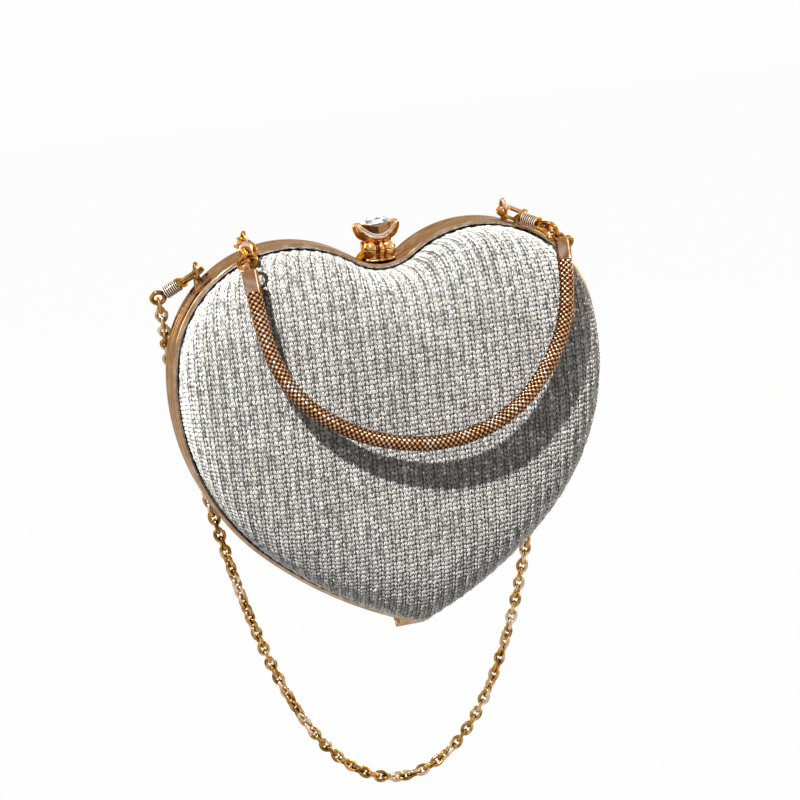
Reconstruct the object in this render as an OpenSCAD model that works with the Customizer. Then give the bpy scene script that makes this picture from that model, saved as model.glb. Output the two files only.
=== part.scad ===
// Heart shaped evening purse, front towards -Y, upright on +Z, origin at the heart's bottom tip.
// Two domed shells in a two-rim frame, hinged at the tip, with a clasp at the cleft,
// a short carrying handle on the front rim and a link chain on the back rim.

/* [Heart] */
// overall width of the frame, mm
heart_w = 182; // [160:1:200]
// how the lobe's radius compares with the other arcs
lobe_share = 0.276; // [0.266:0.002:0.286]
// how the side's radius compares with the other arcs
side_share = 0.53; // [0.51:0.01:0.55]
// how the tip's radius compares with the other arcs
tip_share = 0.066; // [0.06:0.001:0.072]
// how the cleft's radius compares with the other arcs
cleft_share = 0.11; // [0.1:0.002:0.12]

/* [Frame] */
// depth of one rim, from the seam to its free edge, mm
rim_depth = 9; // [8:0.25:10]
// thickness of the rim wall, mm
rim_t = 2; // [1.8:0.1:2.4]
// gap at the seam between the two rims, mm
seam_gap = 0.3; // [0.2:0.05:0.5]
// radius of the grooves along the rim, mm
groove_r = 0.45; // [0.3:0.05:0.55]

/* [Domes] */
// height of a dome over the edge of its cover, mm
dome_h = 30; // [24:0.5:34]
// thickness of the knitted cover, mm
cover_t = 0.9; // [0.6:0.1:1.2]
// thickness of the moulded shell, mm
shell_t = 1.4; // [1.2:0.1:2]
// thickness of the lining, mm
lining_t = 0.6; // [0.4:0.1:1]
// dark gap between the rim and the cover, mm
cover_gap = 0.6; // [0.4:0.1:0.8]

/* [Hinge] */
// radius of the hinge barrel, mm
knuckle_r = 2; // [1.8:0.1:2.2]
// length of the hinge, mm
hinge_l = 12.4; // [11:0.2:14]
// radius of the hinge pin, mm
pin_r = 0.8; // [0.7:0.05:0.9]

/* [Clasp] */
// width of the clasp's base, mm
clasp_w = 13.6; // [12:0.2:15]
// height of the clasp's base over the cleft, mm
clasp_h = 5; // [4.6:0.1:5.6]
// half width of the bowl at its lip, mm
bowl_w = 10; // [9:0.25:11]
// height of the bowl, mm
bowl_h = 9; // [8:0.25:10]
// height of the stone over the bowl's lip, mm
stone_h = 2.8; // [2.2:0.1:3.4]

/* [Hooks] */
// centreline radius of a hook's bow, mm
bow_r = 3.3; // [3.1:0.05:3.5]
// radius of a hook's wire, mm
hook_wire_r = 0.8; // [0.7:0.05:0.85]
// length of a hook's opening past the bow, mm
hook_gap_l = 6; // [5.5:0.25:7]
// radius of a hook's barrel, mm
barrel_r = 2.5; // [2.2:0.1:2.7]
// length of a hook's barrel, mm
barrel_l = 7; // [6:0.25:8]
// radius of the lug rings, centreline, mm
lug_r = 2.9; // [2.8:0.05:3.1]

/* [Handle] */
// radius of the snake handle, mm
snake_r = 2.8; // [2.4:0.1:3.1]
// length of an end cap, mm
cap_l = 8.5; // [7:0.25:9]
// centreline radius of the handle's rings, mm
ring_r = 3.6; // [3.2:0.1:4]

/* [Chain] */
// centreline radius of a chain link, mm
link_r = 2.82; // [2.7:0.02:3]
// radius of the link's wire, mm
link_wire_r = 0.72; // [0.66:0.01:0.74]
// how full the hanging loop is, as a share of half its width
loop_share = 0.354; // [0.348:0.001:0.362]
// how far behind the seam the chain hangs, mm
chain_back = 29.5; // [29:0.5:33]

/* [Hidden] */
$fn = 32;
link_fn = 16;
// headings at the ends of the outline's arcs, from the tip up the right side to the cleft
heads = [0, 23, 45, 100, 215, 180];
steps = [3, 3, 7, 12, 4];
straight_up = 90;
half_turn = 180;
closing = tip_share * (sin(heads[1]) - sin(heads[0]))
    + side_share * (sin(heads[3]) - sin(heads[2]))
    + lobe_share * (sin(heads[4]) - sin(heads[3]))
    - cleft_share * (sin(heads[5]) - sin(heads[4]));
flank_share = -closing / (sin(heads[2]) - sin(heads[1]));
widest = tip_share * sin(heads[1])
    + flank_share * (sin(heads[2]) - sin(heads[1]))
    + side_share * (sin(straight_up) - sin(heads[2]));
unit = heart_w / 2 / widest;
radii = [tip_share * unit, flank_share * unit, side_share * unit, lobe_share * unit, -cleft_share * unit];
function chord(i) = radii[i] * [sin(heads[i + 1]) - sin(heads[i]), cos(heads[i]) - cos(heads[i + 1])];
function start(i) = i == 0 ? [0, 0] : start(i - 1) + chord(i - 1);
function middle(i) = start(i) + radii[i] * [-sin(heads[i]), cos(heads[i])];
function edge(i, h, d) = middle(i) + (radii[i] - d) * [sin(h), -cos(h)];
function half(d) = [for (i = [0:4]) for (s = [0:steps[i] - 1])
    edge(i, heads[i] + (heads[i + 1] - heads[i]) * s / steps[i], d)];
function outline(d) = let (h = half(d), n = len(h))
    concat(h, [edge(4, heads[5], d)], [for (k = [n - 1:-1:1]) [-h[k].x, h[k].y]]);
cleft_z = edge(4, heads[5], 0).y;
lobe_c = middle(3);
lobe_r = radii[3];
top_z = lobe_c.y + lobe_r;
dome_c = [0, top_z / 2];
dome_round_share = 0.42857;
dome_round = dome_round_share * heart_w;
dome_p = 4.5;
dome_q = 3;
dome_shares = [1, 0.98, 0.93, 0.83, 0.68, 0.45];
edge_drop = 2;
cover_tuck = 0.8;
ledge_t = 1.35;
seat_in = 0.1;
cover_d = rim_t + cover_gap;
ledge_y = seam_gap / 2 + ledge_t;
ledge_d = cover_d + cover_t + shell_t + lining_t + seat_in;
function rise(t) = pow(1 - pow(t, dome_p), 1 / dome_q);
function ring_at(s, t, y) = let (o = outline(cover_d + s))
    [for (p = o) let (v = p - dome_c, r = norm(v), b = 1 - t * t, q = dome_c + v / r * t * ((1 - b) * r + b * dome_round))
        [q.x, y, q.y]];
function dome_y(s, t) = rim_depth - edge_drop + (dome_h - s) * rise(t);
function dome_rings(s, skirt) = concat([ring_at(s, 1, skirt)],
    [for (t = dome_shares) ring_at(s, t, dome_y(s, t))]);
function crown(s) = [dome_c.x, dome_y(s, 0), dome_c.y];
function flat(l) = [for (a = l) for (b = a) b];
function unit3(v) = v / norm(v);
function spin_x(a, p) = [p.x, p.y * cos(a) - p.z * sin(a), p.y * sin(a) + p.z * cos(a)];
function spin_z(a, p) = [p.x * cos(a) - p.y * sin(a), p.x * sin(a) + p.y * cos(a), p.z];

// clearances
body_gap = 0.3;
pin_gap = 0.05;
wire_gap = 0.04;
link_gap = 0.12;
tiny = 0.01;

// hinge
knuckle_clear = 0.6;
hinge_drop = knuckle_r + knuckle_clear;
knuckle_gap = 0.15;
middle_share = 0.32;
leaf_t = 1.6;
leaf_l = 6.2;
leaf_y = 0.5;
leaf_top = 4;

// clasp
clasp_end = 8.2;
clasp_front = 0.25;
stud_r = 1;
stud_gap = 0.1;
stud_l = 4;
stud_up = 2.3;
socket_l = 4.6;
arch_r = 8;
pivot_y = 5.2;
pivot_up = 1.2;
pivot_r = 0.7;
hub_r = 1.5;
ear_in = 3.1;
ear_t = 1.8;
ear_r = 1.7;
plate_t = 1;
plate_w = 4.4;
plate_front = 4.6;
plate_back = 4;
plate_up = 0.4;
bowl_y = -1.4;
bowl_foot = 6.4;
bowl_deep = 4.9;
bowl_foot_deep = 3.6;
bowl_n = 28;
crease_share = 0.13;
crease_wide = 24;
lip_up = 1.1;
recess = 1;
stone_in = 3.4;
stone_clear = 0.05;

// lugs
lug_wire_r = 0.7;
lug_up = 1.6;
chain_lug_up = 1.2;
foot_r = 1.4;
foot_sink = 6;
foot_in = 0.2;
handle_lug_share = 0.0802;
handle_lug_x = handle_lug_share * heart_w;
handle_lug_y = -2.9;
chain_lug_turn = 132;
chain_lug_y = 6;

// hooks
shoulder_t = 1.8;
shoulder_h = 1.6;
gate_r = 0.6;
gate_hub_r = 0.95;
gate_hub_h = 0.8;
gate_pin_r = 0.4;
gate_slot = 0.95;
arm_web_t = 1;
arm_web_in = 0.4;
rib_n = 8;
rib_share = 0.55;
rib_deep = 0.35;
eye_r = 2.6;
eye_wire_r = 0.8;
stem_r = 0.9;
stem_l = 0.9;
hook_len = hook_gap_l + shoulder_t + barrel_l;
eye_x = hook_len + stem_l + eye_r;
bow_turn = 180;

// where each hook points: tilt down from the front, turn towards +X, roll about its own way
left_hook = [14, -16, -28];
right_hook = [26, 38, 0];
chain_hook = [156, 62, -21];
chain_hook_left = [chain_hook[0], -chain_hook[1], chain_hook[2]];
function hook_point(h, p) = spin_x(h[0], spin_z(-90, spin_x(h[2], [bow_r, 0, 0] + spin_z(h[1], p))));
function handle_lug(side) = [side * (lobe_c.x + handle_lug_x), handle_lug_y,
    lobe_c.y + sqrt(lobe_r * lobe_r - handle_lug_x * handle_lug_x) + lug_r + lug_wire_r + lug_up];
chain_lug_z = lobe_c.y + lobe_r * sin(chain_lug_turn) + lug_r + lug_wire_r + chain_lug_up;
chain_lug_x = lobe_c.x - lobe_r * cos(chain_lug_turn);
function chain_lug(side) = [side * chain_lug_x, chain_lug_y, chain_lug_z];

// the way from each handle hook to the snake
left_way = unit3([-0.1, -0.86, -0.42]);
right_way = unit3([0.35, -0.84, -0.42]);
cap_way_left = unit3([0.02, -0.3, -0.95]);
cap_way_right = unit3([-0.05, -0.3, -0.95]);
ring_wire_r = 0.7;
loop_r = 2;
loop_wire_r = 0.65;
cap_r = snake_r + 0.15;
cap_loop_in = 0.3;
snake_in = 2;
function eye_at(side) = handle_lug(side) + hook_point(side < 0 ? left_hook : right_hook, [eye_x, 0, 0]);
function eye_dir(side) = let (h = side < 0 ? left_hook : right_hook) hook_point(h, [1, 0, 0]) - hook_point(h, [0, 0, 0]);
function way(side) = side < 0 ? left_way : right_way;
function cap_way(side) = side < 0 ? cap_way_left : cap_way_right;
function eye_axis(side) = unit3(cross(eye_dir(side), way(side)));
function ring_at_c(side) = eye_at(side) + way(side) * (eye_r - eye_wire_r - ring_wire_r - wire_gap + ring_r);
function loop_at_c(side) = ring_at_c(side) + way(side) * (ring_r - ring_wire_r - loop_wire_r - wire_gap + loop_r);
function cap_top(side) = loop_at_c(side) + way(side) * (loop_r - cap_loop_in) ;
function cap_end(side) = cap_top(side) + cap_way(side) * cap_l;

// the handle's line between its caps, as shares of the heart's width
snake_mid_shares = [
    [-0.3214, -0.2143, 0.7637], [-0.3104, -0.2253, 0.7088], [-0.2885, -0.2363, 0.6538],
    [-0.2527, -0.2473, 0.6016], [-0.1951, -0.2527, 0.5522], [-0.1209, -0.2555, 0.511],
    [-0.0275, -0.2582, 0.4835], [0.0604, -0.2582, 0.478], [0.1484, -0.2555, 0.4945],
    [0.2253, -0.2473, 0.533], [0.2857, -0.2363, 0.5879], [0.3324, -0.2198, 0.6484],
    [0.3599, -0.2033, 0.7088], [0.3736, -0.1868, 0.7692]];
snake_sides = 12;
snake_per = 2;
snake_ends = [cap_end(-1) - cap_way(-1) * snake_in, cap_end(1) - cap_way(1) * snake_in];
snake_ctrl = concat([cap_end(-1)], snake_mid_shares * heart_w, [cap_end(1)]);
function bend(a, b, c, d, u) = 0.5 * (2 * b + (c - a) * u + (2 * a - 5 * b + 4 * c - d) * u * u
    + (3 * b - a - 3 * c + d) * u * u * u);
function at(l, i) = l[max(0, min(len(l) - 1, i))];
function smooth_line(l, per) = concat([for (i = [0:len(l) - 2]) for (k = [0:per - 1])
    bend(at(l, i - 1), at(l, i), at(l, i + 1), at(l, i + 2), k / per)], [l[len(l) - 1]]);
snake_line = concat([snake_ends[0]], smooth_line(snake_ctrl, snake_per), [snake_ends[1]]);

// the chain hangs as a free loop behind the purse
chain_way = unit3([0.1, 0.4, -0.91]);
chain_eye = chain_lug(-1) + hook_point(chain_hook_left, [eye_x, 0, 0]);
chain_dir = hook_point(chain_hook_left, [1, 0, 0]) - hook_point(chain_hook_left, [0, 0, 0]);
chain_end = chain_eye + chain_way * (eye_r - eye_wire_r - link_wire_r - wire_gap + link_r);
loop_a = -chain_end.x * loop_share;
end_u = -chain_end.x / loop_a;
sinh_end = (exp(end_u) - exp(-end_u)) / 2;
cosh_end = (exp(end_u) + exp(-end_u)) / 2;
end_s = loop_a * sinh_end;
loop_z = chain_end.z - loop_a * (cosh_end - 1);
link_step = 2 * (link_r - link_wire_r) - link_gap;
back_run_share = 0.165;
back_run = back_run_share * heart_w;
function asinh(v) = ln(v + sqrt(v * v + 1));
function ease(u) = let (c = max(0, min(1, u))) c * c * (3 - 2 * c);
function chain_at(s) = [loop_a * asinh(s / loop_a),
    chain_back + (chain_end.y - chain_back) * ease((abs(s) - end_s + back_run) / back_run),
    loop_z + sqrt(loop_a * loop_a + s * s) - loop_a];
// places along half the loop, and how far each lies from its lowest point
walk_n = 240;
walk = [for (i = [0:walk_n]) end_s * i / walk_n];
walk_on = [for (i = 0, c = 0; i <= walk_n; c = c + (i < walk_n ? norm(chain_at(walk[i + 1]) - chain_at(walk[i])) : 0), i = i + 1) c];
walked = [for (i = [0:walk_n]) [walk_on[i], walk[i]]];
half_l = walk_on[walk_n];
link_pairs = ceil(half_l / link_step);
link_n = 2 * link_pairs + 1;
pull = half_l / link_pairs;
function link_s(k) = let (j = k - link_pairs) sign(j) * lookup(abs(j) * pull, walked);
function link_at(k) = chain_at(link_s(k));
function link_way(k) = unit3(chain_at(link_s(k) + 1) - chain_at(link_s(k) - 1));

// the rim's section as inset from the outline and distance from the seam
rim_section = [[0, seam_gap / 2], [0, rim_depth * 0.24], [groove_r, rim_depth * 0.29],
    [0, rim_depth * 0.34], [0, rim_depth * 0.88], [rim_t * 0.15, rim_depth * 0.96],
    [rim_t * 0.5, rim_depth], [rim_t * 0.85, rim_depth * 0.96], [rim_t, rim_depth * 0.88],
    [rim_t, ledge_y], [ledge_d, ledge_y], [ledge_d, seam_gap / 2]];

// the section carried round the outline, back side
module rim_ring() {
  rings = [for (c = rim_section) [for (p = outline(c[0])) [p.x, c[1], p.y]]];
  n = len(rings[0]);
  m = len(rings);
  faces = [for (j = [0:m - 1]) for (i = [0:n - 1]) let (k = (i + 1) % n, u = (j + 1) % m)
      each [[j * n + i, j * n + k, u * n + k], [j * n + i, u * n + k, u * n + i]]];
  polyhedron(points = flat(rings), faces = faces, convexity = 8);
}

// a closed skin between two dome surfaces, back side
module skin(a, b, skirt) {
  o = dome_rings(a, skirt);
  w = dome_rings(b, skirt);
  n = len(o[0]);
  m = len(o);
  base = n * m + 1;
  pts = concat(flat(o), [crown(a)], flat(w), [crown(b)]);
  outer = [for (j = [0:m - 2]) for (i = [0:n - 1]) let (k = (i + 1) % n)
      each [[j * n + i, j * n + k, j * n + n + k], [j * n + i, j * n + n + k, j * n + n + i]]];
  outer_top = [for (i = [0:n - 1]) [(m - 1) * n + i, (m - 1) * n + (i + 1) % n, n * m]];
  inner = [for (f = outer) [f[2] + base, f[1] + base, f[0] + base]];
  inner_top = [for (i = [0:n - 1]) [base + n * m, base + (m - 1) * n + (i + 1) % n, base + (m - 1) * n + i]];
  foot = [for (i = [0:n - 1]) let (k = (i + 1) % n) each [[i, base + i, base + k], [i, base + k, k]]];
  polyhedron(points = pts, faces = concat(outer, outer_top, inner, inner_top, foot), convexity = 8);
}

// a band of tube bent round a full ring, with its axis along n
module loop(c, r, wire, n, fine = $fn) {
  translate(c)
    rotate([0, acos(n.z), atan2(n.y, n.x)])
      rotate_extrude($fn = fine)
        translate([r, 0])
          circle(r = wire, $fn = link_fn);
}

module lying(r, l) {
  rotate([0, 90, 0])
    cylinder(r = r, h = l, center = true);
}

module back_rim() {
  color([0.78, 0.58, 0.42])
    rim_ring();
}

module front_rim() {
  color([0.78, 0.58, 0.42])
    mirror([0, 1, 0])
      rim_ring();
}

module back_shell() {
  color([0.85, 0.85, 0.85])
    skin(cover_t, cover_t + shell_t, ledge_y);
}

module front_shell() {
  color([0.85, 0.85, 0.85])
    mirror([0, 1, 0])
      skin(cover_t, cover_t + shell_t, ledge_y);
}

module back_cover() {
  color([0.7, 0.7, 0.72])
    skin(0, cover_t, rim_depth - edge_drop - cover_tuck);
}

module front_cover() {
  color([0.7, 0.7, 0.72])
    mirror([0, 1, 0])
      skin(0, cover_t, rim_depth - edge_drop - cover_tuck);
}

module back_lining() {
  color([0.9, 0.88, 0.84])
    skin(cover_t + shell_t, cover_t + shell_t + lining_t, ledge_y);
}

module front_lining() {
  color([0.9, 0.88, 0.84])
    mirror([0, 1, 0])
      skin(cover_t + shell_t, cover_t + shell_t + lining_t, ledge_y);
}

// a leaf on the outside of the tip; own is true where the knuckles are the outer pair
module hinge_leaf(outer_pair) {
  mid = hinge_l * middle_share / 2;
  out_l = hinge_l / 2 - mid - knuckle_gap;
  spots = outer_pair ? [-mid - knuckle_gap - out_l / 2, mid + knuckle_gap + out_l / 2] : [0];
  own_l = outer_pair ? out_l : 2 * mid;
  difference() {
    union() {
      difference() {
        translate([-hinge_l / 2, leaf_y, -leaf_t])
          cube([hinge_l, leaf_l, leaf_top + leaf_t]);
        translate([0, 0, radii[0]])
          rotate([90, 0, 0])
            cylinder(r = radii[0], h = 4 * leaf_l, center = true, $fn = 90);
        translate([0, 0, -hinge_drop])
          lying(knuckle_r + body_gap, 2 * hinge_l);
      }
      for (x = spots) {
        translate([x, 0, -hinge_drop])
          lying(knuckle_r, own_l);
        translate([x - own_l / 2, leaf_y, -hinge_drop])
          cube([own_l, leaf_l / 2, hinge_drop - leaf_t + leaf_t / 4]);
      }
    }
    translate([0, 0, -hinge_drop])
      lying(outer_pair ? pin_r : pin_r + pin_gap, 2 * hinge_l);
  }
}

module back_hinge_leaf() {
  color([0.76, 0.56, 0.4])
    hinge_leaf(true);
}

module front_hinge_leaf() {
  color([0.76, 0.56, 0.4])
    mirror([0, 1, 0])
      hinge_leaf(false);
}

module hinge_pin() {
  color([0.6, 0.6, 0.62])
    translate([0, 0, -hinge_drop])
      lying(pin_r, hinge_l);
}

// a rounded block seated in the cleft's hollow, from y0 to y1
module cleft_block(y0, y1) {
  translate([0, y1, 0])
    rotate([90, 0, 0])
      linear_extrude(height = y1 - y0)
        intersection() {
          translate([0, cleft_z + clasp_h - arch_r])
            circle(r = arch_r);
          translate([-clasp_w / 2, cleft_z - clasp_h])
            square([clasp_w, 3 * clasp_h]);
          translate([0, cleft_z - radii[4]])
            circle(r = -radii[4], $fn = 180);
        }
}

module clasp_saddle() {
  color([0.8, 0.58, 0.34])
    difference() {
      union() {
        cleft_block(clasp_front, clasp_end);
        for (side = [-1, 1])
          translate([side * (ear_in + ear_t / 2), pivot_y, cleft_z + clasp_h + pivot_up])
            lying(ear_r, ear_t);
        for (side = [-1, 1])
          translate([side * (ear_in + ear_t / 2) - ear_t / 2, pivot_y - ear_r, cleft_z + stud_up])
            cube([ear_t, 2 * ear_r, clasp_h + pivot_up - stud_up]);
      }
      translate([0, clasp_front + socket_l / 2 - tiny, cleft_z + stud_up])
        rotate([90, 0, 0])
          cylinder(r = stud_r + stud_gap, h = socket_l, center = true);
      translate([0, pivot_y, cleft_z + clasp_h + pivot_up])
        lying(pivot_r, 4 * clasp_w);
      translate([-ear_in, pivot_y - ear_r - body_gap, cleft_z + clasp_h + pivot_up - hub_r - body_gap])
        cube([2 * ear_in, 2 * ear_r + 2 * body_gap, 2 * clasp_h]);
    }
}

module front_catch() {
  color([0.8, 0.58, 0.34]) {
    cleft_block(-clasp_end, -clasp_front);
    translate([0, stud_l / 2 - clasp_front - tiny, cleft_z + stud_up])
      rotate([90, 0, 0])
        cylinder(r = stud_r, h = stud_l, center = true);
  }
}

module clasp_pin() {
  color([0.6, 0.6, 0.62])
    translate([0, pivot_y, cleft_z + clasp_h + pivot_up])
      lying(pivot_r, 2 * (ear_in + ear_t));
}

module clasp_lever() {
  color([0.8, 0.58, 0.34])
    difference() {
      union() {
        translate([0, pivot_y, cleft_z + clasp_h + pivot_up])
          lying(hub_r, 2 * (ear_in - pin_gap));
        translate([-ear_in + pin_gap, bowl_y, cleft_z + clasp_h + plate_up])
          cube([2 * (ear_in - pin_gap), pivot_y - bowl_y, plate_t]);
        translate([-plate_w, bowl_y - plate_front + clasp_front, cleft_z + clasp_h + plate_up])
          cube([2 * plate_w, plate_front + plate_back - clasp_front, plate_t]);
      }
      translate([0, pivot_y, cleft_z + clasp_h + pivot_up])
        lying(pivot_r + pin_gap, 4 * clasp_w);
    }
}

bowl_z = cleft_z + clasp_h + plate_up + plate_t;
bowl_levels = [[0, bowl_foot, bowl_foot_deep], [0.12, bowl_w * 0.78, bowl_deep * 0.88],
    [0.38, bowl_w * 0.9, bowl_deep * 0.98], [0.7, bowl_w * 0.97, bowl_deep],
    [1, bowl_w, bowl_deep * 0.95]];
function dent(a, up) = 1 - crease_share * up * (exp(-pow((a - 90) / crease_wide, 2)) + exp(-pow((a - 270) / crease_wide, 2)));
function bowl_ring(l) = [for (i = [0:bowl_n - 1]) let (a = 360 * i / bowl_n)
    [l[1] * cos(a) * dent(a, l[0]), bowl_y + l[2] * sin(a) * dent(a, l[0]),
     bowl_z + l[0] * bowl_h + lip_up * l[0] * pow(cos(a), 2)]];
stone_w = bowl_w * 0.66;
function stone_ring(w, d, z) = [for (i = [0:bowl_n - 1]) let (a = 360 * i / bowl_n)
    [w * cos(a), bowl_y + d * sin(a), z]];
stone_z = bowl_z + bowl_h - recess;

module stack(rings) {
  n = len(rings[0]);
  m = len(rings);
  faces = [for (j = [0:m - 2]) for (i = [0:n - 1]) let (k = (i + 1) % n)
      each [[j * n + i, j * n + n + k, j * n + k], [j * n + i, j * n + n + i, j * n + n + k]]];
  ends = concat([for (i = [1:n - 2]) [0, i, i + 1]],
      [for (i = [1:n - 2]) [(m - 1) * n, (m - 1) * n + i + 1, (m - 1) * n + i]]);
  polyhedron(points = flat(rings), faces = concat(faces, ends), convexity = 6);
}

module clasp_bowl() {
  color([0.82, 0.6, 0.34])
    stack(concat([for (l = bowl_levels) bowl_ring(l)],
      [stone_ring(stone_w + stone_clear, stone_in + stone_clear, bowl_z + bowl_h),
       stone_ring(stone_w + stone_clear, stone_in + stone_clear, stone_z)]));
}

module clasp_stone() {
  color([0.9, 0.92, 0.95])
    stack([stone_ring(stone_w * 0.9, stone_in * 0.9, stone_z),
      stone_ring(stone_w, stone_in, bowl_z + bowl_h),
      stone_ring(stone_w, stone_in, bowl_z + bowl_h + stone_h * 0.3),
      stone_ring(stone_w * 0.72, stone_in * 0.62, bowl_z + bowl_h + stone_h)]);
}

// a ring on a post, the post cut to sit on the lobe's arc
module lug(c, side) {
  difference() {
    union() {
      loop(c, lug_r, lug_wire_r, [1, 0, 0]);
      translate([c.x, c.y, c.z - lug_r - foot_sink])
        cylinder(r = foot_r, h = foot_sink + lug_wire_r / 2);
    }
    translate([side * lobe_c.x, 0, lobe_c.y])
      rotate([90, 0, 0])
        cylinder(r = lobe_r - foot_in, h = 4 * rim_depth, center = true, $fn = 180);
  }
}

module handle_lug_left() {
  color([0.8, 0.6, 0.42])
    lug(handle_lug(-1), -1);
}

module handle_lug_right() {
  color([0.8, 0.6, 0.42])
    lug(handle_lug(1), 1);
}

module chain_lug_left() {
  color([0.8, 0.6, 0.42])
    lug(chain_lug(-1), -1);
}

module chain_lug_right() {
  color([0.8, 0.6, 0.42])
    lug(chain_lug(1), 1);
}

// puts a hook's own frame at a lug: +x along the hook, y across it
module hung(c, h) {
  translate(c)
    rotate([h[0], 0, 0])
      rotate([0, 0, -90])
        rotate([h[2], 0, 0])
          translate([bow_r, 0, 0])
            rotate([0, 0, h[1]])
              children();
}

module hook() {
  rotate([0, 0, 90])
    rotate_extrude(angle = bow_turn)
      translate([bow_r, 0])
        circle(r = hook_wire_r, $fn = 20);
  translate([hook_len / 2, bow_r, 0])
    lying(hook_wire_r, hook_len);
  translate([hook_gap_l, 0, -arm_web_t / 2])
    cube([hook_len - hook_gap_l - arm_web_in, bow_r, arm_web_t]);
  difference() {
    translate([hook_gap_l - tiny, -bow_r - gate_hub_r - gate_pin_r, -shoulder_h])
      cube([shoulder_t + tiny, 2 * bow_r + gate_hub_r + gate_pin_r + hook_wire_r, 2 * shoulder_h]);
    translate([hook_gap_l - shoulder_t, -2 * bow_r - gate_hub_r - body_gap / 2, -gate_slot])
      cube([3 * shoulder_t, bow_r + 2 * gate_hub_r + body_gap, 2 * gate_slot]);
  }
  translate([hook_gap_l + shoulder_t / 2, -bow_r, 0])
    cylinder(r = gate_pin_r, h = 2 * shoulder_h, center = true);
  translate([hook_gap_l + shoulder_t - tiny, 0, 0])
    rotate([0, 90, 0])
      cylinder(r = barrel_r - rib_deep, h = barrel_l + tiny);
  for (k = [0:rib_n - 1])
    translate([hook_gap_l + shoulder_t + barrel_l * (k + 0.5) / rib_n, 0, 0])
      lying(barrel_r, barrel_l / rib_n * rib_share);
}

module gate() {
  difference() {
    union() {
      translate([body_gap / 2, -bow_r, 0])
        rotate([0, 90, 0])
          cylinder(r = gate_r, h = hook_gap_l + shoulder_t / 2 - gate_pin_r - body_gap);
      translate([hook_gap_l + shoulder_t / 2, -bow_r, 0])
        cylinder(r = gate_hub_r, h = 2 * gate_hub_h, center = true);
    }
    translate([hook_gap_l + shoulder_t / 2, -bow_r, 0])
      cylinder(r = gate_pin_r + pin_gap, h = 4 * shoulder_h, center = true);
  }
}

// the eye that turns in the barrel's end
module swivel(c, d, n) {
  loop(c, eye_r, eye_wire_r, n);
  translate(c - d * (eye_r + stem_l))
    rotate([0, acos(d.z), atan2(d.y, d.x)])
      cylinder(r = stem_r, h = stem_l + eye_wire_r / 2);
}

module handle_hook_left() {
  color([0.8, 0.58, 0.34])
    hung(handle_lug(-1), left_hook)
      hook();
}

module handle_hook_right() {
  color([0.8, 0.58, 0.34])
    hung(handle_lug(1), right_hook)
      hook();
}

module handle_gate_left() {
  color([0.8, 0.58, 0.34])
    hung(handle_lug(-1), left_hook)
      gate();
}

module handle_gate_right() {
  color([0.8, 0.58, 0.34])
    hung(handle_lug(1), right_hook)
      gate();
}

module handle_swivel_left() {
  color([0.8, 0.58, 0.34])
    swivel(eye_at(-1), eye_dir(-1), eye_axis(-1));
}

module handle_swivel_right() {
  color([0.8, 0.58, 0.34])
    swivel(eye_at(1), eye_dir(1), eye_axis(1));
}

module handle_ring_left() {
  color([0.82, 0.6, 0.4])
    loop(ring_at_c(-1), ring_r, ring_wire_r, cross(way(-1), eye_axis(-1)));
}

module handle_ring_right() {
  color([0.82, 0.6, 0.4])
    loop(ring_at_c(1), ring_r, ring_wire_r, cross(way(1), eye_axis(1)));
}

module cap(side) {
  d = cap_way(side);
  difference() {
    union() {
      loop(loop_at_c(side), loop_r, loop_wire_r, eye_axis(side));
      translate(cap_top(side))
        rotate([0, acos(d.z), atan2(d.y, d.x)])
          cylinder(r = cap_r, h = cap_l);
    }
    translate(cap_end(side) - d * snake_in)
      rotate([0, acos(d.z), atan2(d.y, d.x)])
        cylinder(r = snake_r, h = 2 * snake_in);
  }
}

module handle_cap_left() {
  color([0.82, 0.6, 0.44])
    cap(-1);
}

module handle_cap_right() {
  color([0.82, 0.6, 0.44])
    cap(1);
}

// a tube swept along a line of points
module tube(line, r, sides) {
  m = len(line);
  ways = [for (i = [0:m - 1]) unit3(line[min(m - 1, i + 1)] - line[max(0, i - 1)])];
  rings = [for (i = [0:m - 1]) let (a = unit3(cross(ways[i], [0, 1, 0.001])), b = cross(ways[i], a))
      [for (k = [0:sides - 1]) line[i] + r * (a * cos(360 * k / sides) + b * sin(360 * k / sides))]];
  stack(rings);
}

module handle_snake() {
  color([0.85, 0.66, 0.55])
    tube(snake_line, snake_r, snake_sides);
}

module chain_side(side, what) {
  mirror([side > 0 ? 1 : 0, 0, 0])
    hung(chain_lug(-1), chain_hook_left)
      if (what == "hook")
        hook();
      else
        gate();
}

module chain_swivel(side) {
  mirror([side > 0 ? 1 : 0, 0, 0])
    swivel(chain_eye, chain_dir, unit3(cross(chain_dir, chain_way)));
}

module chain_hook_left() {
  color([0.84, 0.64, 0.34])
    chain_side(-1, "hook");
}

module chain_hook_right() {
  color([0.84, 0.64, 0.34])
    chain_side(1, "hook");
}

module chain_gate_left() {
  color([0.84, 0.64, 0.34])
    chain_side(-1, "gate");
}

module chain_gate_right() {
  color([0.84, 0.64, 0.34])
    chain_side(1, "gate");
}

module chain_swivel_left() {
  color([0.84, 0.64, 0.34])
    chain_swivel(-1);
}

module chain_swivel_right() {
  color([0.84, 0.64, 0.34])
    chain_swivel(1);
}

// links first to last, each turned a quarter from the one before
module links(first, last) {
  for (k = [first:last]) {
    t = link_way(k);
    a = unit3([0, 1, 0] - t * t.y);
    loop(link_at(k), link_r, link_wire_r, k % 2 == 0 ? cross(t, a) : a, link_fn);
  }
}

third = round(link_n / 3);

module chain_links_left() {
  color([0.86, 0.68, 0.36])
    links(0, third - 1);
}

module chain_links_low() {
  color([0.86, 0.68, 0.36])
    links(third, link_n - third - 1);
}

module chain_links_right() {
  color([0.86, 0.68, 0.36])
    links(link_n - third, link_n - 1);
}

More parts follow.
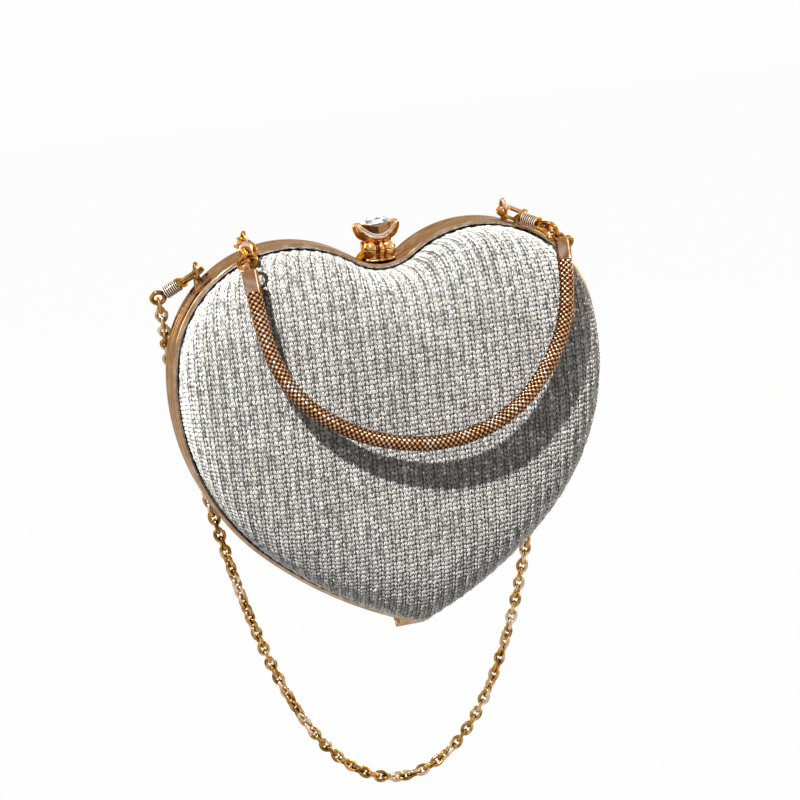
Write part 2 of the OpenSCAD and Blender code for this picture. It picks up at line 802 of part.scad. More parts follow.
back_rim();
back_shell();
back_cover();
back_lining();
front_rim();
front_shell();
front_cover();
front_lining();
back_hinge_leaf();
front_hinge_leaf();
hinge_pin();
clasp_saddle();
clasp_pin();
clasp_lever();
clasp_bowl();
clasp_stone();
front_catch();
handle_lug_left();
handle_lug_right();
handle_hook_left();
handle_hook_right();
handle_gate_left();
handle_gate_right();
handle_swivel_left();
handle_swivel_right();
handle_ring_left();
handle_ring_right();
handle_cap_left();
handle_cap_right();
handle_snake();
chain_lug_left();
chain_lug_right();
chain_hook_left();
chain_hook_right();
chain_gate_left();
chain_gate_right();
chain_swivel_left();
chain_swivel_right();
chain_links_left();
chain_links_low();
chain_links_right();
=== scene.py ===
import bisect
import random
from math import (asinh, atan2, ceil, copysign, cos, cosh, degrees, exp, hypot, pi, radians, sin, sinh,
                  sqrt, tau)

import bpy
import numpy as np
from bpy.props import FloatProperty, FloatVectorProperty, PointerProperty
from bpy.types import Operator, Panel, PropertyGroup
from mathutils import Matrix, Vector


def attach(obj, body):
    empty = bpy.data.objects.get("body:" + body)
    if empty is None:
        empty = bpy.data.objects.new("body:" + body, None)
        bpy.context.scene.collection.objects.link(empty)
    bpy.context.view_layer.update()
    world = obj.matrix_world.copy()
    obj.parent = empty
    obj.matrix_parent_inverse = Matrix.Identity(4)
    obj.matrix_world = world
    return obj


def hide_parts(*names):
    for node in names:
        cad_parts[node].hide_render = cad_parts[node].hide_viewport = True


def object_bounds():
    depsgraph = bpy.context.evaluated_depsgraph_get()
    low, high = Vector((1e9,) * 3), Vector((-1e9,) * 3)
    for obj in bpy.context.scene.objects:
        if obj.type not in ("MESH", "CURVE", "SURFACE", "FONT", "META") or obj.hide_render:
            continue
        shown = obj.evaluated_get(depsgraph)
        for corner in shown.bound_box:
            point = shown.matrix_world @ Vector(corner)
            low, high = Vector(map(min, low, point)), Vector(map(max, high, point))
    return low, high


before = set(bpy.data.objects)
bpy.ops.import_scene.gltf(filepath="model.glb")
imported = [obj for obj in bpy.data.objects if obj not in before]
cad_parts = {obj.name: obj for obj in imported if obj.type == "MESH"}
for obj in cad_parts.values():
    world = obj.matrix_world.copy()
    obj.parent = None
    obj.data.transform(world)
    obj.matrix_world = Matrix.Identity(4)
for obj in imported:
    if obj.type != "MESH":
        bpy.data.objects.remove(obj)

bl_info = {
    "name": "Heart Clutch Builder",
    "version": (1, 0, 0),
    "blender": (4, 5, 0),
    "location": "3D View > Sidebar > Heart Clutch",
    "description": "Builds the knit, bands, clasp, handle chain and strap of a heart shaped clutch",
    "category": "Object",
}

MM = 0.001
CAD_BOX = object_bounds()

# the outline's arcs, from the tip up the right side to the cleft: headings in degrees, shares of the width
HEADS = (0, 23, 45, 100, 215, 180)
TIP_SHARE, SIDE_SHARE, LOBE_SHARE, CLEFT_SHARE = 0.066, 0.53, 0.276, 0.11
RIM_DEPTH, RIM_T, SEAM_GAP, COVER_GAP = 9.0, 2.0, 0.3, 0.6
COVER_T, SHELL_T, LINING_T = 0.9, 1.4, 0.6
EDGE_DROP, COVER_TUCK, LEDGE_T, SEAT_IN = 2.0, 0.8, 1.35, 0.1
LEDGE_Y = SEAM_GAP / 2 + LEDGE_T
COVER_D = RIM_T + COVER_GAP
DOME_P, DOME_Q, DOME_ROUND = 4.5, 3.0, 78.0
KNIT_IN = 0.55
HALVES = (("front", -1), ("back", 1))


# ---------------------------------------------------------------- sizes and colours
class ClutchSizes(PropertyGroup):
    """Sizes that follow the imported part"""
    width: FloatProperty(name="Width", description="Overall width of the frame", default=0.182, unit="LENGTH")
    dome: FloatProperty(name="Dome", description="Height of a dome over its cover's edge", default=0.030,
                        unit="LENGTH")
    snake: FloatProperty(name="Handle chain", description="Radius of the handle chain", default=0.0028,
                         unit="LENGTH")
    column: FloatProperty(name="Stitch column", description="Width of one column of stitches", default=0.0025,
                          unit="LENGTH")
    row: FloatProperty(name="Stitch row", description="Height of one row of stitches", default=0.0019,
                       unit="LENGTH")


def colour(name, description, default):
    return FloatVectorProperty(name=name, description=description, default=default, subtype="COLOR")


class ClutchColours(PropertyGroup):
    """Colours of the finishes"""
    silver: colour("Silver yarn", "Metallic yarn of the knit", (0.74, 0.725, 0.70))
    frame_gold: colour("Frame gold", "Plating of the bands", (0.43, 0.265, 0.15))
    clasp_gold: colour("Clasp gold", "Plating of the clasp and handle hooks", (0.74, 0.35, 0.08))
    rose_gold: colour("Rose gold", "Plating of the handle chain", (0.56, 0.275, 0.12))
    chain_gold: colour("Chain gold", "Plating of the strap chain and its hooks", (0.47, 0.27, 0.075))


# ---------------------------------------------------------------- outline
def radii():
    """Radii of the five arcs, in millimetres, for the width set in the panel."""
    s = [sin(radians(h)) for h in HEADS]
    closing = (TIP_SHARE * (s[1] - s[0]) + SIDE_SHARE * (s[3] - s[2]) + LOBE_SHARE * (s[4] - s[3])
               - CLEFT_SHARE * (s[5] - s[4]))
    flank = -closing / (s[2] - s[1])
    widest = TIP_SHARE * s[1] + flank * (s[2] - s[1]) + SIDE_SHARE * (1 - s[2])
    unit = bpy.context.scene.clutch_sizes.width / MM / 2 / widest
    return [TIP_SHARE * unit, flank * unit, SIDE_SHARE * unit, LOBE_SHARE * unit, -CLEFT_SHARE * unit]


def arc_centres(rad):
    """Centres of the arcs as (x, z), in millimetres."""
    x = z = 0.0
    centres = []
    for i, r in enumerate(rad):
        a, b = radians(HEADS[i]), radians(HEADS[i + 1])
        centres.append((x - r * sin(a), z + r * cos(a)))
        x += r * (sin(b) - sin(a))
        z += r * (cos(a) - cos(b))
    return centres


def outline(inset, spacing=1.0):
    """Closed outline at an inset, as (x, z) in mm from the tip on; the count is the same at any inset."""
    rad = radii()
    centres = arc_centres(rad)
    half = []
    for i, r in enumerate(rad):
        a, b = radians(HEADS[i]), radians(HEADS[i + 1])
        n = max(4, round(abs(r * (b - a)) / spacing))
        half += [(centres[i][0] + (r - inset) * sin(a + (b - a) * k / n),
                  centres[i][1] - (r - inset) * cos(a + (b - a) * k / n)) for k in range(n)]
    last = (0.0, centres[4][1] - (rad[4] - inset) * cos(radians(HEADS[5])))
    return half + [last] + [(-x, z) for x, z in half[:0:-1]]


def dome_height():
    return bpy.context.scene.clutch_sizes.dome / MM


def top_z():
    rad = radii()
    return arc_centres(rad)[3][1] + rad[3]


def dome_y(share, depth=0.0):
    """Height of a dome from the seam at a share of the way out from its middle."""
    return RIM_DEPTH - EDGE_DROP + (dome_height() - depth) * max(0.0, 1 - share ** DOME_P) ** (1 / DOME_Q)


def dome_ring(points, depth, share):
    """One ring of a dome, (x, depth from the seam, z), at a share of the way out from the middle."""
    mid = top_z() / 2
    b = 1 - share * share
    y = dome_y(share, depth)
    ring = []
    for x, z in points:
        r = hypot(x, z - mid)
        k = share * ((1 - b) * r + b * DOME_ROUND) / r
        ring.append((x * k, y, mid + (z - mid) * k))
    return ring


# ---------------------------------------------------------------- mesh helpers
def clear_selection():
    if bpy.context.mode != "OBJECT":
        bpy.ops.object.mode_set(mode="OBJECT")
    bpy.ops.object.select_all(action="DESELECT")


def pick(obj):
    clear_selection()
    obj.select_set(True)
    bpy.context.view_layer.objects.active = obj
    return obj


def mark_hollows(mesh, values):
    """Keeps each point's painted light: painted shade up to 1, as in a groove, or a painted highlight down to
    -1, as where it stands proud.
    """
    mask = mesh.attributes.new("hollow", "FLOAT", "POINT")
    mask.data.foreach_set("value", [max(-1.0, min(1.0, v)) for v in values])


def new_mesh(name, verts, faces, hollows=None):
    """A piece from points in millimetres, its faces turned outward."""
    mesh = bpy.data.meshes.new(name)
    mesh.from_pydata([Vector(v) * MM for v in verts], [], faces)
    mesh.validate()
    if hollows:
        mark_hollows(mesh, hollows)
    obj = bpy.data.objects.new(name, mesh)
    bpy.context.scene.collection.objects.link(obj)
    face_outward(obj)
    return obj


def face_outward(obj):
    pick(obj)
    bpy.ops.object.mode_set(mode="EDIT")
    bpy.ops.mesh.select_all(action="SELECT")
    bpy.ops.mesh.remove_doubles(threshold=1e-6)
    bpy.ops.mesh.normals_make_consistent(inside=False)
    bpy.ops.object.mode_set(mode="OBJECT")


def apply_modifier(obj, kind, **values):
    """Adds one modifier to the picked piece and applies it."""
    mod = obj.modifiers.new(kind.lower(), kind)
    for label, value in values.items():
        setattr(mod, label, value)
    bpy.ops.object.modifier_apply(modifier=mod.name)


def join(parts):
    clear_selection()
    for part in parts:
        part.select_set(True)
    bpy.context.view_layer.objects.active = parts[0]
    bpy.ops.object.join()
    return bpy.context.active_object


def paint(obj, material):
    obj.data.materials.clear()
    obj.data.materials.append(material)


def finish_piece(obj, body, key, replaced, smooth_to):
    """Finishes and smooths a piece, puts it on its body and hides the nodes it stands for."""
    paint(obj, FINISHES[key])
    pick(obj)
    bpy.ops.object.shade_smooth_by_angle(angle=radians(smooth_to))
    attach(obj, body)
    if replaced:
        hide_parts(*replaced)


def band_faces(n, low, high):
    """Quads between two rings of n points, from the numbers of their first points."""
    return [(low + i, low + (i + 1) % n, high + (i + 1) % n, high + i) for i in range(n)]


def loft(name, rings, hollows):
    """A skin over rings of equal count, with capped ends."""
    n, m = len(rings[0]), len(rings)
    faces = [face for j in range(m - 1) for face in band_faces(n, j * n, (j + 1) * n)]
    faces += [tuple(range(n))[::-1], tuple(range((m - 1) * n, m * n))]
    return new_mesh(name, [p for ring in rings for p in ring], faces, hollows)


def tube_rings(line, radius_at, sides):
    """Rings of a tube along a line of points; radius_at(i, angle) gives the radius."""
    rings = []
    for i, p in enumerate(line):
        a, b = line[max(0, i - 1)], line[min(len(line) - 1, i + 1)]
        way = (Vector(b) - Vector(a)).normalized()
        side = way.cross(Vector((0, 1, 0.001))).normalized()
        up = way.cross(side)
        ring = []
        for k in range(sides):
            t = tau * k / sides
            ring.append(Vector(p) + radius_at(i, t) * (side * cos(t) + up * sin(t)))
        rings.append(ring)
    return rings


def resample(line, step):
    """Points at even steps along a line."""
    pts = [Vector(p) for p in line]
    total = sum((b - a).length for a, b in zip(pts, pts[1:]))
    n = max(1, round(total / step))
    out, seg, gone = [pts[0]], 0, 0.0
    for k in range(1, n):
        want = total * k / n
        while gone + (pts[seg + 1] - pts[seg]).length < want:
            gone += (pts[seg + 1] - pts[seg]).length
            seg += 1
        out.append(pts[seg].lerp(pts[seg + 1], (want - gone) / (pts[seg + 1] - pts[seg]).length))
    return out + [pts[-1]]


def smooth_line(points, per):
    """A smooth curve through the points."""
    pts = [Vector(p) for p in points]
    last = len(pts) - 1
    out = []
    for i in range(last):
        a, b, c, d = pts[max(0, i - 1)], pts[i], pts[i + 1], pts[min(last, i + 2)]
        for k in range(per):
            u = k / per
            out.append(0.5 * (2 * b + (c - a) * u + (2 * a - 5 * b + 4 * c - d) * u * u
                              + (3 * b - a - 3 * c + d) * u ** 3))
    return out + [pts[-1]]


# ---------------------------------------------------------------- shader groups and finishes
def fill(node, **values):
    """Sets a node's inputs by name, with _ for a space."""
    for label, value in values.items():
        node.inputs[label.replace("_", " ")].default_value = value
    return node


def marks_group(name, texture, output, broad_scale, broad_twist, more=()):
    """Roughness and height from a fine texture, shade from a broad one, and the masks of painted shade and
    painted highlight; on the platings the broad shade is painted reflection, on yarn and cloth a random tone.
    """
    group = bpy.data.node_groups.new(name, "ShaderNodeTree")
    for label in ("Scale", "Low", "High"):
        group.interface.new_socket(name=label, in_out="INPUT", socket_type="NodeSocketFloat")
    for label in ("Roughness", "Height", "Shade", "Painted_shade", "Painted_highlight", *more):
        group.interface.new_socket(name=label, in_out="OUTPUT", socket_type="NodeSocketFloat")
    n, link = group.nodes, group.links.new
    gin, gout = n.new("NodeGroupInput"), n.new("NodeGroupOutput")
    coord, fine, rough = n.new("ShaderNodeTexCoord"), n.new(texture), n.new("ShaderNodeMapRange")
    broad = fill(n.new("ShaderNodeTexNoise"), Scale=broad_scale, Distortion=broad_twist)
    link(coord.outputs["Object"], fine.inputs["Vector"])
    link(coord.outputs["Object"], broad.inputs["Vector"])
    link(gin.outputs["Scale"], fine.inputs["Scale"])
    link(fine.outputs[output], rough.inputs["Value"])
    link(gin.outputs["Low"], rough.inputs["To Min"])
    link(gin.outputs["High"], rough.inputs["To Max"])
    link(rough.outputs["Result"], gout.inputs["Roughness"])
    link(fine.outputs[output], gout.inputs["Height"])
    link(broad.outputs["Fac"], gout.inputs["Shade"])
    mask = n.new("ShaderNodeAttribute")
    mask.attribute_name = "hollow"
    for label, sign in (("Painted_shade", 1), ("Painted_highlight", -1)):
        part = n.new("ShaderNodeMath")
        part.operation, part.use_clamp = "MULTIPLY", True
        part.inputs[1].default_value = sign
        link(mask.outputs["Fac"], part.inputs[0])
        link(part.outputs[0], gout.inputs[label])
    return group, fine, rough, gout


def polish_group():
    """Faint wipe marks and pits of a polished plating, and broad blotches of painted reflection."""
    group, fine, rough, _ = marks_group("Polish marks", "ShaderNodeTexNoise", "Fac", 130, 1.2)
    fill(fine, Detail=3)
    fill(rough, From_Min=0.3, From_Max=0.7)
    return group


def yarn_group():
    """Twist and glints of a metallic yarn."""
    group, cells, _, gout = marks_group("Yarn twist", "ShaderNodeTexVoronoi", "Distance", 90, 0.0, ["Glint"])
    n, link = group.nodes, group.links.new
    glint = fill(n.new("ShaderNodeMapRange"), From_Min=0.9, From_Max=0.95, To_Min=0.0, To_Max=0.9)
    parts = n.new("ShaderNodeSeparateColor")
    link(cells.outputs["Color"], parts.inputs["Color"])
    link(parts.outputs["Red"], glint.inputs["Value"])
    link(glint.outputs["Result"], gout.inputs["Glint"])
    return group


# the three tones of a finish; on the platings its deep and bright tones are painted reflections
WARM = (0.92, 0.72, 0.55)
TONE_PLACES = (0.34, 0.5, 0.68)
WARM_FROM, HIGHLIGHT_GAIN = 0.3, 0.75


def tones(colour, deep, bright):
    """Deep, middle and bright tone of one finish, painted reflections on the platings; strongly deepened tones
    turn warmer.
    """
    return ([c * (1 - deep) * (w if deep > WARM_FROM else 1) for c, w in zip(colour, WARM)], list(colour),
            [c + (1 - c) * bright for c in colour])


def finish(name, colour, group, scale, low, high, deep=0.1, bright=0.05, metallic=1.0, bump=0.05,
           distance=0.00005, hollow=0.75, tint=(0.9, 0.6, 0.42), **sockets):
    """A material: tones, roughness and bump from a shared group, painted shade where its mask is positive, a
    painted highlight where it is negative.
    """
    mat = bpy.data.materials.new(name)
    mat.use_nodes = True
    n, link = mat.node_tree.nodes, mat.node_tree.links.new
    shader = n["Principled BSDF"]
    marks = n.new("ShaderNodeGroup")
    marks.node_tree = group
    fill(marks, Scale=scale, Low=low, High=high)
    ramp = n.new("ShaderNodeValToRGB")
    steps = ramp.color_ramp.elements
    steps.new(0.5)
    for step, place, tone in zip(steps, TONE_PLACES, tones(colour, deep, bright)):
        step.position, step.color = place, (*tone, 1)
    link(marks.outputs["Shade"], ramp.inputs["Fac"])
    shown = ramp.outputs["Color"]
    # the painted shade tone is the colour darkened and warmed, the painted highlight tone is the colour lifted
    # towards white
    for label, tone in (("Painted_shade", [c * (1 - hollow) * w for c, w in zip(colour, tint)]),
                        ("Painted_highlight", [c + (1 - c) * HIGHLIGHT_GAIN for c in colour])):
        mix = n.new("ShaderNodeMix")
        mix.data_type = "RGBA"
        fill(mix, B=(*tone, 1))
        link(marks.outputs[label], mix.inputs["Factor"])
        link(shown, mix.inputs["A"])
        shown = mix.outputs["Result"]
    link(shown, shader.inputs["Base Color"])
    link(marks.outputs["Roughness"], shader.inputs["Roughness"])
    height = fill(n.new("ShaderNodeBump"), Strength=bump, Distance=distance)
    link(marks.outputs["Height"], height.inputs["Height"])
    link(height.outputs["Normal"], shader.inputs["Normal"])
    if metallic == "glints":
        link(marks.outputs["Glint"], shader.inputs["Metallic"])
    else:
        fill(shader, Metallic=metallic)
    fill(shader, **sockets)
    return mat


FINISHES = {}
# the knit ground is the silver darkened to near black, painted shade in the gaps between the stitches
CAP_DARKER, GROUND_SHADE = 0.8, 0.08


def make_finishes():
    """Name, colour, group, texture scale, lowest and highest roughness, and the tones of every finish; on the
    platings the deep and bright tones are painted reflections.
    """
    c = bpy.context.scene.clutch_colours
    polish, yarn = polish_group(), yarn_group()
    FINISHES.update(
        frame=finish("Frame plating", c.frame_gold, polish, 700, 0.06, 0.14, 0.2, 0.12, hollow=0.93,
                     Specular_Tint=(0.62, 0.44, 0.28, 1)),
        clasp=finish("Clasp plating", c.clasp_gold, polish, 900, 0.05, 0.12, 0.68, 0.42, hollow=0.93,
                     Specular_Tint=(0.85, 0.5, 0.2, 1)),
        rose=finish("Handle plating", c.rose_gold, polish, 1500, 0.22, 0.34, 0.3, 0.3, hollow=0.96,
                    Specular_Tint=(0.85, 0.5, 0.28, 1)),
        chain=finish("Strap plating", c.chain_gold, polish, 1200, 0.08, 0.18, 0.6, 0.4,
                     Specular_Tint=(0.75, 0.5, 0.2, 1)),
        cap=finish("Cap plating", [v * CAP_DARKER for v in c.rose_gold], polish, 900, 0.05, 0.12, 0.6, 0.3,
                   Specular_Tint=(0.7, 0.42, 0.25, 1)),
        steel=finish("Plain steel", (0.6, 0.6, 0.61), polish, 1200, 0.2, 0.35, 0.15),
        yarn=finish("Silver yarn", c.silver, yarn, 1400, 0.2, 0.5, 0.12, 0.2, metallic="glints", bump=0.3,
                    distance=0.0001, hollow=0.85, tint=(1, 0.95, 0.9), Specular_IOR_Level=0.15,
                    Diffuse_Roughness=1.0, Sheen_Weight=0.15),
        ground=finish("Knit ground", [v * GROUND_SHADE for v in c.silver], yarn, 2200, 0.6, 0.8, 0.15, 0.02,
                      metallic=0.0, bump=0.3, distance=0.0001),
        satin=finish("Satin lining", (0.42, 0.36, 0.29), yarn, 2400, 0.35, 0.5, 0.12, metallic=0.0, bump=0.15,
                     distance=0.0001, Sheen_Weight=0.3),
        shell=finish("Moulded shell", (0.78, 0.78, 0.78), polish, 800, 0.4, 0.55, 0.05, metallic=0.0),
        crystal=finish("Clear stone", (0.90, 0.92, 0.95), polish, 600, 0.0, 0.03, 0.04, metallic=0.0,
                       bump=0.0, hollow=0.95, tint=(1, 1, 1), Transmission_Weight=0.15, IOR=1.8))


# ---------------------------------------------------------------- stage
class CLUTCH_OT_stage(Operator):
    """Camera, floor, backdrop and soft lamps"""
    bl_idname = "clutch.stage"
    bl_label = "Stage"

    place = (-0.19087, -0.66920, 0.26665)
    yaw, pitch, roll = 0.2836, 0.2425, -0.0874
    focal_pixels, frame_pixels, sensor = 1723.62, 800.0, 36.0
    floor_drop, floor_white, sky_white, soft_light = 0.16, 0.975, 0.983, 0.05

    @staticmethod
    def seen_white(n, link, dim, white_kind, strength=1.0):
        """Mixes a shader with plain white for camera, glossy and transmission rays."""
        path = n.new("ShaderNodeLightPath")
        most = path.outputs["Is Camera Ray"]
        for label in ("Is Glossy Ray", "Is Transmission Ray"):
            step = n.new("ShaderNodeMath")
            step.operation = "MAXIMUM"
            link(most, step.inputs[0])
            link(path.outputs[label], step.inputs[1])
            most = step.outputs[0]
        white = fill(n.new(white_kind), Color=(1, 1, 1, 1), Strength=strength)
        mix = n.new("ShaderNodeMixShader")
        link(dim, mix.inputs[1])
        link(white.outputs[0], mix.inputs[2])
        return most, mix

    def white_floor(self):
        mat = bpy.data.materials.new("Pale floor")
        mat.use_nodes = True
        n, link = mat.node_tree.nodes, mat.node_tree.links.new
        base, out = n["Principled BSDF"], n["Material Output"]
        fill(base, Base_Color=(0.35, 0.35, 0.35, 1), Roughness=0.9)
        seen, mix = self.seen_white(n, link, base.outputs["BSDF"], "ShaderNodeEmission")
        part = n.new("ShaderNodeMath")
        part.operation = "MULTIPLY"
        part.inputs[1].default_value = self.floor_white
        link(seen, part.inputs[0])
        link(part.outputs[0], mix.inputs["Fac"])
        link(mix.outputs["Shader"], out.inputs["Surface"])
        return mat

    def white_world(self, scene):
        world = bpy.data.worlds.new("studio")
        scene.world = world
        world.use_nodes = True
        n, link = world.node_tree.nodes, world.node_tree.links.new
        n.clear()
        out = n.new("ShaderNodeOutputWorld")
        soft = fill(n.new("ShaderNodeBackground"), Color=(1, 0.86, 0.74, 1), Strength=self.soft_light)
        seen, mix = self.seen_white(n, link, soft.outputs["Background"], "ShaderNodeBackground",
                                    self.sky_white)
        link(seen, mix.inputs["Fac"])
        link(mix.outputs["Shader"], out.inputs["Surface"])

    @staticmethod
    def lamp(name, place, aim, size, watts, tint=(1, 1, 1)):
        data = bpy.data.lights.new(name, "AREA")
        data.shape, data.size, data.energy, data.color = "DISK", size, watts, tint
        obj = bpy.data.objects.new(name, data)
        bpy.context.scene.collection.objects.link(obj)
        obj.location = place
        obj.rotation_euler = (Vector(aim) - Vector(place)).to_track_quat("-Z", "Y").to_euler()

    def execute(self, context):
        scene = context.scene
        cam = bpy.data.cameras.new("camera")
        cam.sensor_width = self.sensor
        cam.lens = self.focal_pixels / self.frame_pixels * self.sensor
        cam.clip_start, cam.clip_end = 0.01, 20
        eye = bpy.data.objects.new("camera", cam)
        scene.collection.objects.link(eye)
        scene.camera = eye
        way = Vector((sin(self.yaw) * cos(self.pitch), cos(self.yaw) * cos(self.pitch),
                      -sin(self.pitch)))
        right = way.cross(Vector((0, 0, 1))).normalized()
        up = right.cross(way)
        side = right * cos(self.roll) + up * sin(self.roll)
        over = up * cos(self.roll) - right * sin(self.roll)
        eye.matrix_world = Matrix.Translation(self.place) @ Matrix((side, over, -way)).transposed().to_4x4()

        clear_selection()
        bpy.ops.mesh.primitive_plane_add(size=12, location=(0, 0, CAD_BOX[0][2] - self.floor_drop))
        floor = context.active_object
        floor.name = "floor"
        bpy.ops.object.transform_apply(location=True, rotation=True, scale=True)
        floor.data.materials.append(self.white_floor())
        self.white_world(scene)

        self.lamp("key", (-0.83, -0.92, 1.65), (0, 0, 0.08), 0.05, 77, (1, 0.985, 0.955))
        self.lamp("fill", (-0.9, -1.0, 1.4), (0, 0, 0.08), 0.9, 0.5, (1, 0.88, 0.76))
        self.lamp("rim", (-0.9, 0.9, 0.6), (0, 0, 0.1), 0.7, 6)
        self.lamp("side", (1.3, -0.3, 0.3), (0, 0, 0.1), 0.5, 3.5, (1, 0.9, 0.8))
        self.lamp("back", (1.35, 1.15, 0.5), (0, 0, 0.05), 0.8, 22, (1, 0.97, 0.93))
        scene.view_settings.view_transform = "Standard"
        return {"FINISHED"}


# ---------------------------------------------------------------- frame bands
SPIN_STEP = 0.8
# painted shade beside the cover and in the groove, a painted highlight on the lip
BESIDE_COVER, IN_GROOVE, ON_LIP = 1.0, 0.6, -0.7


def rim_section():
    """The band's section: (inset from the outline, depth from the seam), in millimetres."""
    d, t, g = RIM_DEPTH, RIM_T, SEAM_GAP / 2
    pts = [(0.25, g), (0.06, g + 0.1), (0, g + 0.3), (0, d * 0.22), (0.05, d * 0.235)]
    pts += [(0.06 + 0.4 * sin(pi * k / 6), d * (0.24 + 0.1 * k / 6)) for k in range(1, 6)]
    pts += [(0.05, d * 0.345), (0, d * 0.36), (-0.05, d * 0.6), (0.0, d * 0.86)]
    pts += [(t / 2 - t / 2 * cos(pi * k / 10), d * 0.88 + d * 0.12 * sin(pi * k / 10))
            for k in range(1, 10)]
    inner = COVER_D + COVER_T + SHELL_T + LINING_T + SEAT_IN
    pts += [(t, d * 0.86), (t, LEDGE_Y + 0.2), (t + 0.1, LEDGE_Y), (inner - 0.15, LEDGE_Y),
            (inner, LEDGE_Y - 0.15), (inner, g + 0.15), (inner - 0.15, g)]
    return pts


def rim_painted_light(inset, depth):
    """Painted shade beside the cover and in the band's groove, a painted highlight on the lip's inner edge."""
    if abs(inset - RIM_T) < 0.05:
        return BESIDE_COVER
    if inset > 0.12 and depth < RIM_DEPTH * 0.4:
        return IN_GROOVE
    return ON_LIP if 1.3 < inset < RIM_T and depth > RIM_DEPTH * 0.9 else 0


class CLUTCH_OT_bands(Operator):
    """The two polished bands of the frame, their section spun round each arc of the outline"""
    bl_idname = "clutch.bands"
    bl_label = "Frame bands"

    def execute(self, context):
        section = rim_section()
        rad = radii()
        centres = arc_centres(rad)
        arcs = [(i, 1) for i in range(5)] + [(i, -1) for i in range(4, -1, -1)]
        for half, side in HALVES:
            clear_selection()
            bpy.ops.mesh.primitive_circle_add(vertices=len(section), radius=0.002)
            band = context.active_object
            band.name = band.data.name = half + "_band"
            for v, (inset, depth) in zip(band.data.vertices, section):
                v.co = Vector((0, side * depth, inset)) * MM
            mark_hollows(band.data, [rim_painted_light(*p) for p in section])
            bpy.ops.object.mode_set(mode="EDIT")
            bpy.ops.mesh.select_all(action="SELECT")
            for i, flip in arcs:
                turn = radians(HEADS[i + 1] - HEADS[i])
                steps = max(8, round(abs(rad[i] * turn) / SPIN_STEP))
                centre = Vector((flip * centres[i][0], 0, centres[i][1])) * MM
                bpy.ops.mesh.spin(steps=steps, angle=turn, center=centre, axis=(0, 1, 0))
            bpy.ops.object.mode_set(mode="OBJECT")
            face_outward(band)
            finish_piece(band, half, "frame", [half + "_rim"], 40)
        return {"FINISHED"}


# ---------------------------------------------------------------- knit, shells and linings
SKIN_RINGS, SKIN_STEP, APART, LEDGE_CLEAR = 26, 1.6, 0.05, 0.02
# where a stitch's leg ends, as shares of a column or a row, and how far a rib's columns lean together
FOOT_OUT, FOOT_DOWN, HEAD_OUT, HEAD_UP, RIB_SHIFT, LEG_BOW = 0.07, 0.72, 0.40, 0.62, 0.19, 0.06
UNEVEN_COL, UNEVEN_ROW, UNEVEN_LIFT, UNEVEN_FAT = 0.1, 0.16, 0.1, (0.84, 1.1)
LEG_LIFT, CREST, VALLEY, STRAND_OUT, KNIT_REACH, FEEL = 0.12, 0.36, -0.14, 0.28, 125, 0.3
# each strand's tone differs at random; legs in the valley between ribs get painted shade
TONE_RANGE, VALLEY_SHADE = (-0.95, 0.5), 0.12
# a strand's two sections: place along it, half width, height; painted shade at its root and tip, and on its
# sections painted shade at the sides with a painted highlight on top
SECTIONS = ((0.28, 0.18, 0.34), (0.72, 0.2, 0.4))
ROOT_SHADE, SECTION_SHADING, TIP_SHADE = 0.6, (0.35, -0.1, 0.35, 0.2, -0.1, 0.2), 0.35
ROOT_SINK, ROOT_LIFT, TIP_SINK, END_CLOSER = 0.3, 0.4, 0.25, 0.6


def dome_skin(name, side, depth_a, depth_b, skirt, into=0.0):
    """A closed skin between two dome surfaces."""
    shares = [sin(pi / 2 * (1 - k / SKIN_RINGS)) ** 0.5 for k in range(SKIN_RINGS)]
    rings = []
    for depth, more in ((depth_a, into), (depth_b, 0)):
        pts = outline(COVER_D + depth + more, SKIN_STEP)
        rings.append([[(x, skirt, z) for x, z in pts]] + [dome_ring(pts, depth, t) for t in shares])
    n, m = len(rings[0][0]), len(rings[0])
    verts, faces = [], []
    for half, group in enumerate(rings):
        base = len(verts)
        verts += [(x, side * y, z) for ring in group for x, y, z in ring]
        crown = dome_ring([(1.0, top_z() / 2)], (depth_a, depth_b)[half], 1e-6)[0]
        verts.append((0, side * crown[1], top_z() / 2))
        for j in range(m - 1):
            faces += band_faces(n, base + j * n, base + (j + 1) * n)
        faces += [(base + (m - 1) * n + i, base + (m - 1) * n + (i + 1) % n, base + m * n) for i in range(n)]
    return new_mesh(name, verts, faces + band_faces(n, 0, m * n + 1))


class DomeCloth:
    """Lays flat cloth on the dome: a place keeps its heading and its distance from the middle."""
    steps = 96

    def __init__(self):
        self.mid = top_z() / 2
        edge = {}
        for x, z in outline(COVER_D + KNIT_IN, 0.5):
            edge[round(degrees(atan2(z - self.mid, x)) * 2) % 720] = hypot(x, z - self.mid)
        known = sorted(edge)
        self.reach = []
        for k in range(720):
            near = min(known, key=lambda a: min((a - k) % 720, (k - a) % 720))
            self.reach.append(edge[near])
        self.tables = {}

    def table(self, key):
        if key not in self.tables:
            edge, pts, gone = self.reach[key], [], [0.0]
            for i in range(self.steps + 1):
                t = sin(pi / 2 * i / self.steps) ** 0.6
                pts.append((t * (t * t * edge + (1 - t * t) * DOME_ROUND), dome_y(t)))
            pts.append((pts[-1][0], RIM_DEPTH - EDGE_DROP - COVER_TUCK))
            for p, q in zip(pts, pts[1:]):
                gone.append(gone[-1] + hypot(q[0] - p[0], q[1] - p[1]))
            self.tables[key] = pts, gone
        return self.tables[key]

    def place(self, u, v):
        """The point of the dome for a flat place, or None past the edge."""
        far, angle = hypot(u, v), atan2(v, u)
        at = degrees(angle) * 2 % 720
        low = int(at)
        out = []
        for key in (low % 720, (low + 1) % 720):
            pts, gone = self.table(key)
            if far >= gone[-1]:
                return None
            i = bisect.bisect_right(gone, far)
            f = (far - gone[i - 1]) / (gone[i] - gone[i - 1])
            out.append([a + (b - a) * f for a, b in zip(pts[i - 1], pts[i])])
        w = at - low
        r, y = out[0][0] * (1 - w) + out[1][0] * w, out[0][1] * (1 - w) + out[1][1] * w
        return Vector((r * cos(angle), y, self.mid + r * sin(angle)))


